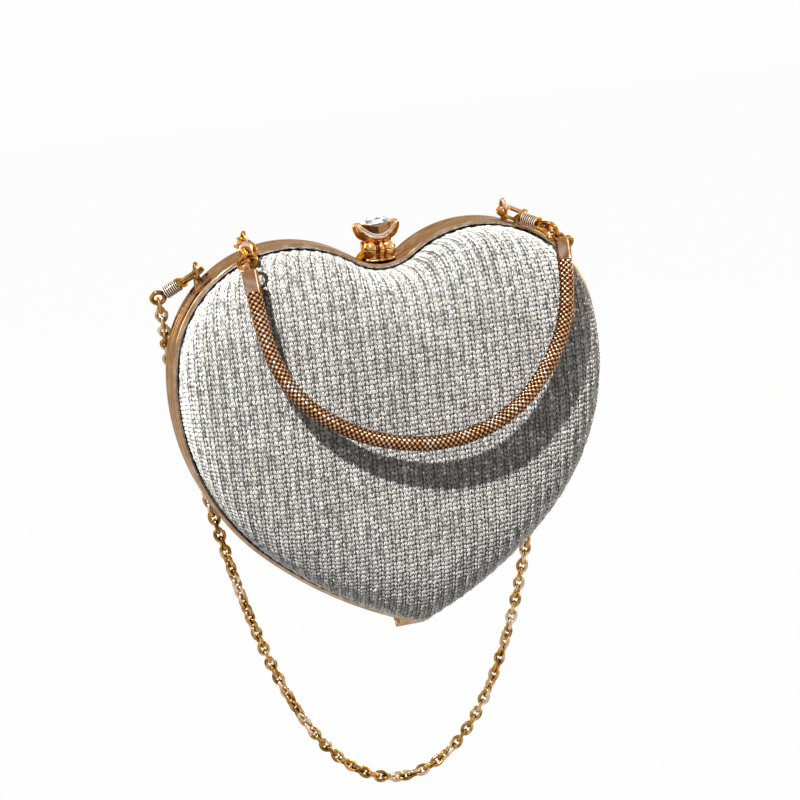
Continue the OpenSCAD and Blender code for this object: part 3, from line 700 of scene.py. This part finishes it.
def stitches(name, side):
    """Every leg of the V stitches, two strands each, set in columns and rows over the cover."""
    sizes = bpy.context.scene.clutch_sizes
    col, row = sizes.column / MM, sizes.row / MM
    cloth = DomeCloth()
    uneven = random.Random(7 if side < 0 else 11)
    verts, faces, dark = [], [], []
    half_cols, half_rows = int(KNIT_REACH / col), int(KNIT_REACH / row)
    for c in range(-half_cols, half_cols):
        rib = 1 if c % 2 == 0 else -1
        for r in range(-half_rows, half_rows):
            for leg in (-1, 1):
                u0 = (c + 0.5) * col + rib * RIB_SHIFT + uneven.uniform(-UNEVEN_COL, UNEVEN_COL)
                v0 = (r + 0.5) * row + uneven.uniform(-UNEVEN_ROW, UNEVEN_ROW)
                foot = (u0 + leg * col * FOOT_OUT, v0 - row * FOOT_DOWN)
                head = (u0 + leg * col * HEAD_OUT, v0 + row * HEAD_UP)
                mid = ((foot[0] + head[0]) / 2 + leg * LEG_BOW, (foot[1] + head[1]) / 2)
                spots = [cloth.place(*p) for p in (foot, mid, head, (mid[0] + FEEL, mid[1]),
                                                   (mid[0], mid[1] + FEEL))]
                if None in spots:
                    continue
                f, m, h, beside, above = spots
                normal = (beside - m).cross(above - m)
                if normal.length < 1e-9:
                    continue
                normal = normal.normalized()
                normal = normal if normal.dot(m - Vector((0, 0, cloth.mid))) > 0 else -normal
                # raised where a rib's two columns meet, low in the valley between ribs
                crest = CREST if leg == rib else VALLEY
                lift = normal * (LEG_LIFT + crest * 0.5 + uneven.uniform(-UNEVEN_LIFT, UNEVEN_LIFT))
                fat = uneven.uniform(*UNEVEN_FAT)
                across = (h - f).normalized().cross(normal).normalized()
                for strand in (-STRAND_OUT, STRAND_OUT):
                    base = len(verts)
                    aside = across * strand + normal * uneven.uniform(-UNEVEN_LIFT, UNEVEN_LIFT)
                    # a random tone, with painted shade in the valleys between ribs
                    tone = uneven.uniform(*TONE_RANGE) + (0 if leg == rib else VALLEY_SHADE)
                    points = [f - normal * ROOT_SINK + lift * ROOT_LIFT + aside * END_CLOSER]
                    for t, w, up in SECTIONS:
                        p = f.lerp(h, t) + (m - f.lerp(h, 0.5)) + lift + aside
                        points += [p - across * w * fat, p + normal * up * fat, p + across * w * fat]
                    points.append(h - normal * TIP_SINK + lift + aside * END_CLOSER)
                    verts += [(p.x, side * p.y, p.z) for p in points]
                    # painted shade at the root, tip and sides of the strand, a painted highlight along its top
                    dark += [ROOT_SHADE, *(tone + more for more in SECTION_SHADING), TIP_SHADE]
                    for k in range(2):
                        faces += [(base, base + 1 + k, base + 2 + k),
                                  (base + 1 + k, base + 4 + k, base + 5 + k, base + 2 + k),
                                  (base + 4 + k, base + 7, base + 5 + k)]
    return new_mesh(name, verts, faces, dark)


class CLUTCH_OT_shells(Operator):
    """Knitted covers, moulded shells and linings of both domes"""
    bl_idname = "clutch.shells"
    bl_label = "Knit, shells and linings"

    def execute(self, context):
        for half, side in HALVES:
            cover = dome_skin(half + "_knit", side, 0, COVER_T * 0.9, RIM_DEPTH - EDGE_DROP - COVER_TUCK,
                              into=KNIT_IN)
            # the cover under the stitches is nearly black: painted shade in the gaps between them
            finish_piece(cover, half, "ground", [half + "_cover"], 60)
            yarn = stitches(half + "_stitches", side)
            finish_piece(yarn, half, "yarn", (), 180)
            shell = dome_skin(half + "_moulding", side, COVER_T + APART, COVER_T + SHELL_T,
                              LEDGE_Y + LEDGE_CLEAR)
            finish_piece(shell, half, "shell", [half + "_shell"], 60)
            inner = dome_skin(half + "_satin", side, COVER_T + SHELL_T + APART, COVER_T + SHELL_T + LINING_T,
                              LEDGE_Y + LEDGE_CLEAR)
            finish_piece(inner, half, "satin", [half + "_lining"], 60)
        return {"FINISHED"}


# ---------------------------------------------------------------- handle chain
CAP_ENDS = ((-60.1716, -35.749, 153.869), (69.3218, -30.2425, 149.049))
CAP_WAYS = ((0.02, -0.3, -0.95), (-0.05, -0.3, -0.95))
SNAKE_MID = ((-58.5, -39, 139), (-56.5, -41, 129), (-52.5, -43, 119), (-46, -45, 109.5), (-35.5, -46, 100.5),
             (-22, -46.5, 93), (-5, -47, 88), (11, -47, 87), (27, -46.5, 90), (41, -45, 97), (52, -43, 107),
             (60.5, -40, 118), (65.5, -37, 129), (68, -34, 140))
SNAKE_IN = 1.9
BEAD_PITCH, BEAD_ROWS, BEAD_RELIEF, PLUMP = 2.1, 14, 0.7, 0.3
# painted glints on the beads' tops, painted shade between the beads and on the chain's underside
BEAD_RINGS, ROW_SIDES, GLINT_FROM, UNDERSIDE_SHADE = 8, 5, 0.85, 0.6
BEAD_POWER, GLINT_BRIGHT, BETWEEN_SHADE, BEAD_FADE = 1.15, 0.9, 1.7, 2.0


class CLUTCH_OT_handle(Operator):
    """The snake chain of the handle, with its rows of beads, a painted highlight on each bead's top and painted
    shade between the beads and under the chain
    """
    bl_idname = "clutch.handle"
    bl_label = "Handle chain"

    def execute(self, context):
        radius = context.scene.clutch_sizes.snake / MM + PLUMP
        ends = [Vector(p) - Vector(w).normalized() * SNAKE_IN for p, w in zip(CAP_ENDS, CAP_WAYS)]
        line = [ends[0]] + smooth_line([CAP_ENDS[0], *SNAKE_MID, CAP_ENDS[1]], 12) + [ends[1]]
        line = resample(line, BEAD_PITCH / BEAD_RINGS)
        sides = BEAD_ROWS * ROW_SIDES

        def crest(i, angle):
            # 1 on the beads' tops, 0 between them; neighbouring rows lie half a pitch apart
            across = cos(pi * angle / tau * BEAD_ROWS)
            return (1 + cos(tau * i / BEAD_RINGS) * across) / 2

        def bead(i, angle):
            return radius - BEAD_RELIEF * (1 - crest(i, angle)) ** BEAD_POWER

        # a painted glint on a bead's top, painted shade between beads
        def mark(c):
            if c > GLINT_FROM:
                return -GLINT_BRIGHT * (c - GLINT_FROM) / (1 - GLINT_FROM)
            return BETWEEN_SHADE - BEAD_FADE * c

        rings = tube_rings(line, bead, sides)
        # painted shade that deepens over the chain's underside
        dark = [mark(crest(i, tau * k / sides)) + UNDERSIDE_SHADE * max(0.0, (line[i].z - p.z) / radius - 0.2)
                for i, ring in enumerate(rings) for k, p in enumerate(ring)]
        chain = loft("handle_snake_chain", rings, dark)
        finish_piece(chain, "handle", "rose", ["handle_snake"], 70)
        path = resample(line, 4)
        return {"FINISHED"}


# ---------------------------------------------------------------- strap chain
LINK_R, LINK_WIRE_R, LINK_GAP = 2.82, 0.72, 0.12
OVAL_LONG, OVAL_WIDE, OVAL_WIRE = 2.89, 1.95, 0.82
CHAIN_END = (-88.4194, 16.0535, 144.603)
LOOP_SHARE, CHAIN_BACK, BACK_RUN, WALK_N = 0.354, 29.5, 30.03, 240
TWIST, TWIST_RATE, DRIFT, DRIFT_RATE, CALM_LINKS = 0.75, 0.31, 1.3, 0.083, 8


def strap_links():
    """Places and ways of the links along the hanging loop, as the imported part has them."""
    x, y, z = CHAIN_END
    a = -x * LOOP_SHARE
    u = -x / a
    end_s = a * sinh(u)
    low = z - a * (cosh(u) - 1)

    def at(s):
        c = max(0.0, min(1.0, (abs(s) - end_s + BACK_RUN) / BACK_RUN))
        return Vector((a * asinh(s / a), CHAIN_BACK + (y - CHAIN_BACK) * c * c * (3 - 2 * c),
                       low + sqrt(a * a + s * s) - a))

    walk = [end_s * i / WALK_N for i in range(WALK_N + 1)]
    gone = [0.0]
    for p, q in zip(walk, walk[1:]):
        gone.append(gone[-1] + (at(q) - at(p)).length)
    step = 2 * (LINK_R - LINK_WIRE_R) - LINK_GAP
    pairs = ceil(gone[-1] / step)
    pull = gone[-1] / pairs

    def along(d):
        i = next((k for k in range(1, len(gone)) if gone[k] >= d), len(gone) - 1)
        f = (d - gone[i - 1]) / (gone[i] - gone[i - 1])
        return walk[i - 1] + (walk[i] - walk[i - 1]) * f

    out = []
    for k in range(2 * pairs + 1):
        j = k - pairs
        s = copysign(along(abs(j) * pull), j) if j else 0.0
        out.append((at(s), (at(s + 1) - at(s - 1)).normalized()))
    return out


class CLUTCH_OT_strap(Operator):
    """The link chain of the strap, hanging as a free loop"""
    bl_idname = "clutch.strap"
    bl_label = "Strap chain"

    def execute(self, context):
        clear_selection()
        bpy.ops.mesh.primitive_torus_add(major_radius=LINK_R * MM, minor_radius=OVAL_WIRE * MM,
                                         major_segments=24, minor_segments=10)
        model = context.active_object
        for v in model.data.vertices:
            out = Vector((v.co.x, v.co.y, 0)).normalized()
            v.co += Vector((out.x * (OVAL_WIDE - LINK_R), out.y * (OVAL_LONG - LINK_R), 0)) * MM
        places = strap_links()
        parts = []
        for k, (place, way) in enumerate(places):
            # links are limp, so the run turns slowly about its own line, and not at its ends
            twist = TWIST * sin(k * TWIST_RATE + DRIFT * sin(k * DRIFT_RATE))
            twist *= min(1, k / CALM_LINKS, (len(places) - 1 - k) / CALM_LINKS)
            a = (Vector((0, 1, 0)) - way * way.y).normalized()
            axis = Matrix.Rotation(twist, 3, way) @ (way.cross(a) if k % 2 == 0 else a)
            turned = Matrix((way.cross(axis), way, axis)).transposed()
            link = model.copy()
            link.data = model.data.copy()
            context.scene.collection.objects.link(link)
            link.data.transform(Matrix.Translation(place * MM) @ turned.to_4x4())
            parts.append(link)
        bpy.data.objects.remove(model)
        chain = join(parts)
        chain.name = chain.data.name = "strap_chain"
        finish_piece(chain, "chain", "chain",
                     ["chain_links_left", "chain_links_low", "chain_links_right"], 180)
        return {"FINISHED"}


# ---------------------------------------------------------------- clasp
CUP_FOOT_Z, CUP_H, CUP_DEEP, CUP_Y = 162.7, 6.342, 4.9, -1.4
CUP_LEVELS = ((0.0, 6.3, 3.5), (0.05, 6.9, 3.9), (0.12, 7.7, 4.3), (0.25, 8.55, 4.65), (0.4, 9.1, 4.8),
              (0.6, 9.7, 4.88), (0.8, 9.95, 4.86), (0.92, 9.95, 4.75), (1.0, 9.6, 4.5))
LIP_UP, LIP_DIP, SCOOP_W, SCOOP_DEEP = 1.1, 0.7, 7.1, 1.25
CUP_SIDES, CUP_STEPS = 128, 44
GEM_W, GEM_DEEP, GEM_LOW, GEM_TOP, GEM_ROOM = 6.55, 3.35, 168.05, 171.8, 0.06
GIRDLE_LOW, GIRDLE_TOP = 169.25, 169.6
# how dark each facet is painted, standing in for reflections
FACET_PAINTED_REFLECTIONS = (0.05, 0.9, 0.4, 0.0, 0.65)
KNOT_TOP, NECK_LOW, KNOT_VOXEL, KNOT_SMOOTH, KNOT_PASSES = 158.95, 159.3, 0.00022, 0.6, 10


def ease(t):
    t = max(0.0, min(1.0, t))
    return t * t * (3 - 2 * t)


def cup_size(share):
    """Half width and half depth of the cup at a share of its height."""
    for (h0, w0, d0), (h1, w1, d1) in zip(CUP_LEVELS, CUP_LEVELS[1:]):
        if share <= h1:
            t = (share - h0) / (h1 - h0)
            return w0 + (w1 - w0) * t, d0 + (d1 - d0) * t
    return CUP_LEVELS[-1][1:]


def scoop_low(x):
    """Share of the height at which the scoop starts, x from the middle."""
    return 0.44 + 0.50 * (abs(x) / SCOOP_W) ** 1.8


def cup_point(angle, share):
    """A point of the cup's outer wall, hollowed by a crescent scoop with a crease in it, front and back."""
    w, d = cup_size(share)
    x, y = w * cos(angle), d * sin(angle)
    if abs(x) < SCOOP_W:
        into = ease((share - scoop_low(x)) / 0.13)
        side = 0.35 + 0.65 * min(1.0, abs(x) / 3.2)
        y *= 1 - into * side * SCOOP_DEEP * (1 - (x / SCOOP_W) ** 4) / CUP_DEEP
    if abs(x) < SCOOP_W + 0.6:
        y *= 1 + 0.055 * exp(-((share - scoop_low(x) + 0.05) / 0.045) ** 2)
    dip = LIP_DIP * exp(-(x / 4.5) ** 2)
    lift = LIP_UP * (cos(angle) ** 2 - 0.35 * cos(angle) ** 8)
    z = CUP_FOOT_Z + share * CUP_H + share * (lift - dip)
    return x, CUP_Y + y, z


class CLUTCH_OT_clasp(Operator):
    """The clasp's cup with its scooped faces, the cut stone, the neck and the rounded knot under them"""
    bl_idname = "clutch.clasp"
    bl_label = "Clasp"

    def execute(self, context):
        n, levels = CUP_SIDES, CUP_STEPS
        angles = [tau * k / n for k in range(n)]
        rings = [[cup_point(a, j / levels) for a in angles] for j in range(levels + 1)]
        lip = rings[-1]
        for inward, up in ((0.93, 0.22), (0.84, 0.2), (0.77, -0.12)):
            rings.append([(x * inward, CUP_Y + (y - CUP_Y) * inward, z + up) for x, y, z in lip])
        for z in (CUP_FOOT_Z + CUP_H - 0.3, GEM_LOW - 0.02):
            rings.append([((GEM_W + GEM_ROOM) * cos(a), CUP_Y + (GEM_DEEP + GEM_ROOM) * sin(a), z)
                          for a in angles])

        def mark(x, share):
            # painted shade in the scoop, deeper on one side of its crease; a painted highlight on the crescent
            # under it; outside the scoop, darker towards the foot
            if abs(x) > SCOOP_W:
                return 0.25 * ease((0.5 - share) / 0.5)
            over = share - scoop_low(x)
            if over > 0:
                return (0.95 if x < -0.2 else 0.6) * ease(over / 0.08)
            return -0.75 * ease((over + 0.36) / 0.08) * (1 - (x / SCOOP_W) ** 6)

        scoop = [mark(p[0], j / levels) for j, ring in enumerate(rings[:levels + 1]) for p in ring]
        scoop += [0.0] * (len(rings) * n - len(scoop))
        cup = loft("clasp_cup", rings, scoop)
        finish_piece(cup, "clasp", "clasp", ["clasp_bowl"], 32)

        def gem_ring(count, share, z, turn):
            return [(GEM_W * share * cos(tau * (k + turn) / count),
                     CUP_Y + GEM_DEEP * share * sin(tau * (k + turn) / count), z)
                    for k in range(count)]

        # table, star and main facets over the girdle, long facets under it
        verts = gem_ring(8, 0.52, GEM_TOP, 0) + gem_ring(8, 0.80, GEM_TOP - 0.85, 0.5)
        verts += gem_ring(16, 1.0, GIRDLE_TOP, 0) + gem_ring(16, 1.0, GIRDLE_LOW, 0)
        verts += gem_ring(8, 0.6, GEM_LOW + 0.1, 0.5)
        faces = [tuple(range(8))]
        for k in range(8):
            m = (k + 1) % 8
            a, b, c = 2 * k, 2 * k + 1, (2 * k + 2) % 16
            faces += [(k, m, 8 + k), (m, 8 + m, 8 + k), (8 + k, 16 + a, 16 + b), (8 + k, 16 + b, 16 + c),
                      (8 + k, 16 + c, 8 + m), (48 + k, 32 + a, 32 + b), (48 + k, 32 + b, 32 + c),
                      (48 + k, 32 + c, 48 + m)]
        faces += [(16 + k, 32 + k, 32 + (k + 1) % 16, 16 + (k + 1) % 16) for k in range(16)]
        faces.append(tuple(range(48, 56))[::-1])
        gem = new_mesh("clasp_gem", verts, faces)
        # painted reflections: facets darkened by turns
        shade = gem.data.attributes.new("hollow", "FLOAT", "FACE")
        shade.data.foreach_set("value", [FACET_PAINTED_REFLECTIONS[k * 3 % 5] for k in range(len(gem.data.polygons))])
        finish_piece(gem, "clasp", "crystal", ["clasp_stone"], 1)

        # the knot: a pair of tall bulbs fused by a remesh, parted where the lever turns
        pair = (((-3.7, -3.3, 158.8), (3.1, 3.9, 4.3)), ((3.7, -3.3, 158.8), (3.1, 3.9, 4.3)),
                ((0.3, -4.2, 158.8), (1.7, 3.6, 3.9)))
        self.bulbs("clasp_neck", "clasp", (), (*pair, ((0, -1.6, 162.7), (6.0, 3.6, 0.7))),
                   low=NECK_LOW)
        self.bulbs("clasp_knot", "front", ["front_catch"], (*pair, ((0, -4.2, 154.9), (6.3, 3.9, 1.1))),
                   high=KNOT_TOP)
        return {"FINISHED"}

    @staticmethod
    def bulbs(name, body, replaced, balls, low=0.0, high=999.0):
        clear_selection()
        parts = []
        for place, size in balls:
            bpy.ops.mesh.primitive_uv_sphere_add(segments=48, ring_count=24, radius=MM,
                                                 location=[c * MM for c in place], scale=size)
            parts.append(bpy.context.active_object)
        knot = join(parts)
        bpy.ops.object.transform_apply(location=True, rotation=True, scale=True)
        knot.name = knot.data.name = name
        apply_modifier(knot, "REMESH", mode="VOXEL", voxel_size=KNOT_VOXEL)
        apply_modifier(knot, "SMOOTH", factor=KNOT_SMOOTH, iterations=KNOT_PASSES)
        for v in knot.data.vertices:
            v.co.z = max(low * MM, min(high * MM, v.co.z))
        face_outward(knot)
        # painted shade where the bulbs meet and on their undersides, a painted highlight on their shoulders
        marks = []
        for v in knot.data.vertices:
            near = min(abs(abs(v.co.x / MM) - 1.6) / 0.8, 1.0)
            marks.append(0.75 * (1 - near) + 0.4 * max(0.0, -v.normal.z) - 1.2 * max(0.0, v.normal.z - 0.45))
        mark_hollows(knot.data, marks)
        finish_piece(knot, body, "clasp", replaced, 180)


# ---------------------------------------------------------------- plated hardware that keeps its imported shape
PLATED = {
    "frame": ("back_hinge_leaf", "front_hinge_leaf"),
    "clasp": ("clasp_saddle", "clasp_lever"),
    "steel": ("hinge_pin", "clasp_pin"),
}
# bodies, finishes and kinds of the cast pieces, each a left and a right one; each gate has a body of its own
CASTINGS = (("front", "clasp", "handle_lug"), ("handle", "clasp", "handle_hook"),
            ("handle", "clasp", "handle_swivel"), ("handle", "clasp", "handle_ring"),
            ("gate_handle", "clasp", "handle_gate"), ("handle", "cap", "handle_cap"),
            ("back", "chain", "chain_lug"), ("chain", "chain", "chain_hook"),
            ("chain", "chain", "chain_swivel"), ("gate_chain", "chain", "chain_gate"))
# the middles of the two ends of each snap hook's ribbed barrel
BARRELS = {
    "handle_hook_left": ((-56.69, -13.62, 167.71), (-58.39, -20.37, 166.96)),
    "handle_hook_right": ((59.59, -11.39, 165.20), (63.90, -16.35, 162.78)),
    "chain_hook_left": ((-80.15, 11.36, 153.16), (-85.92, 13.46, 149.80)),
    "chain_hook_right": ((80.15, 13.36, 157.67), (85.92, 17.27, 158.36)),
}
# RIB_MARK paints highlights on a barrel's ribs and shade between them
BARREL_RIBS, BARREL_LOW, BARREL_HIGH, RIB_OUT, RIB_MARK = 8, 1.7, 2.85, 0.08, 1.3
# painted shade in grooves and painted highlights on edges, from how the surface curves, with an even darkening
# of every casting
EDGE_GAIN, EDGE_SHIFT = 2.6, 0.34


class CLUTCH_OT_hardware(Operator):
    """Platings of hinge, saddle and pins, and softened castings of the hooks, eyes, rings, lugs and caps"""
    bl_idname = "clutch.hardware"
    bl_label = "Plated hardware"

    voxel, passes, fuller = 0.00014, 2, 0.00012

    def cast(self, node, name):
        """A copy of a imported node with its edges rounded, as a casting's are."""
        part = node.copy()
        part.data = node.data.copy()
        part.name = part.data.name = name
        bpy.context.scene.collection.objects.link(part)
        part.data.transform(node.matrix_world)
        part.parent = None
        part.matrix_world = Matrix.Identity(4)
        face_outward(part)
        apply_modifier(part, "REMESH", mode="VOXEL", voxel_size=self.voxel)
        apply_modifier(part, "SMOOTH", factor=0.5, iterations=self.passes)
        apply_modifier(part, "DISPLACE", strength=self.fuller, mid_level=0.0)
        self.mark_edges(part.data, BARRELS.get(node.name))
        return part

    def mark_edges(self, mesh, barrel):
        """Paints shade into grooves and highlights onto edges, by how the surface curves, and raises a barrel's
        ribs with painted highlights on them and painted shade between.
        """
        n = len(mesh.vertices)
        place, way = np.empty(n * 3), np.empty(n * 3)
        mesh.vertices.foreach_get("co", place)
        mesh.vertices.foreach_get("normal", way)
        ends = np.empty(len(mesh.edges) * 2, dtype=np.int64)
        mesh.edges.foreach_get("vertices", ends)
        place, way, ends = place.reshape(-1, 3), way.reshape(-1, 3), ends.reshape(-1, 2)
        count = np.bincount(ends.ravel(), minlength=n)

        def around(values):
            return sum(np.bincount(ends[:, i], values[ends[:, 1 - i]], n) for i in (0, 1)) / count

        curve = sum((around(place[:, i]) - place[:, i]) * way[:, i] for i in range(3)) / self.voxel
        for _ in range(2):
            curve = (curve + around(curve)) / 2
        # painted shade in grooves, painted highlights on edges, and an even darkening
        marks = curve * EDGE_GAIN + EDGE_SHIFT
        if barrel:
            start, end = (np.array(p) * MM for p in barrel)
            length = np.linalg.norm(end - start)
            along = (place - start) @ (end - start) / length
            out = place - start - np.outer(along, (end - start) / length)
            far = np.linalg.norm(out, axis=1)
            on = (along > 0) & (along < length) & (far > BARREL_LOW * MM) & (far < BARREL_HIGH * MM)
            wave = -np.cos(along / length * BARREL_RIBS * 2 * pi)
            place[on] += (out / far[:, None])[on] * wave[on, None] * RIB_OUT * MM
            mesh.vertices.foreach_set("co", place.ravel())
            # painted highlights on the ribs, painted shade between them
            marks[on] = -wave[on] * RIB_MARK
        mark_hollows(mesh, [float(v) for v in marks])

    def execute(self, context):
        for key, names in PLATED.items():
            for name in names:
                paint(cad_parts[name], FINISHES[key])
        for body, key, kind in CASTINGS:
            for end in ("_left", "_right"):
                part = self.cast(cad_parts[kind + end], kind + end + "_cast")
                rides = body + end if body.startswith("gate") else body
                finish_piece(part, rides, key, [kind + end], 180)
        return {"FINISHED"}


# ---------------------------------------------------------------- panel and main
class CLUTCH_PT_panel(Panel):
    """Lists the clutch's builders"""
    bl_label = "Heart Clutch"
    bl_idname = "CLUTCH_PT_panel"
    bl_space_type = "VIEW_3D"
    bl_region_type = "UI"
    bl_category = "Heart Clutch"

    def draw(self, context):
        for group in (context.scene.clutch_sizes, context.scene.clutch_colours):
            for prop in group.bl_rna.properties:
                if prop.identifier not in {"rna_type", "name"}:
                    self.layout.prop(group, prop.identifier)
        for op in BUILDERS:
            self.layout.operator(op.bl_idname)


BUILDERS = (CLUTCH_OT_stage, CLUTCH_OT_bands, CLUTCH_OT_shells, CLUTCH_OT_handle, CLUTCH_OT_strap,
            CLUTCH_OT_clasp, CLUTCH_OT_hardware)
CLASSES = (ClutchSizes, ClutchColours, *BUILDERS, CLUTCH_PT_panel)


def register():
    for cls in CLASSES:
        bpy.utils.register_class(cls)
    bpy.types.Scene.clutch_sizes = PointerProperty(type=ClutchSizes)
    bpy.types.Scene.clutch_colours = PointerProperty(type=ClutchColours)


def unregister():
    del bpy.types.Scene.clutch_colours
    del bpy.types.Scene.clutch_sizes
    for cls in reversed(CLASSES):
        bpy.utils.unregister_class(cls)


def main():
    register()
    make_finishes()
    bpy.ops.clutch.stage()
    bpy.ops.clutch.bands()
    bpy.ops.clutch.shells()
    bpy.ops.clutch.handle()
    bpy.ops.clutch.strap()
    bpy.ops.clutch.clasp()
    bpy.ops.clutch.hardware()


if __name__ == "__main__":
    main()
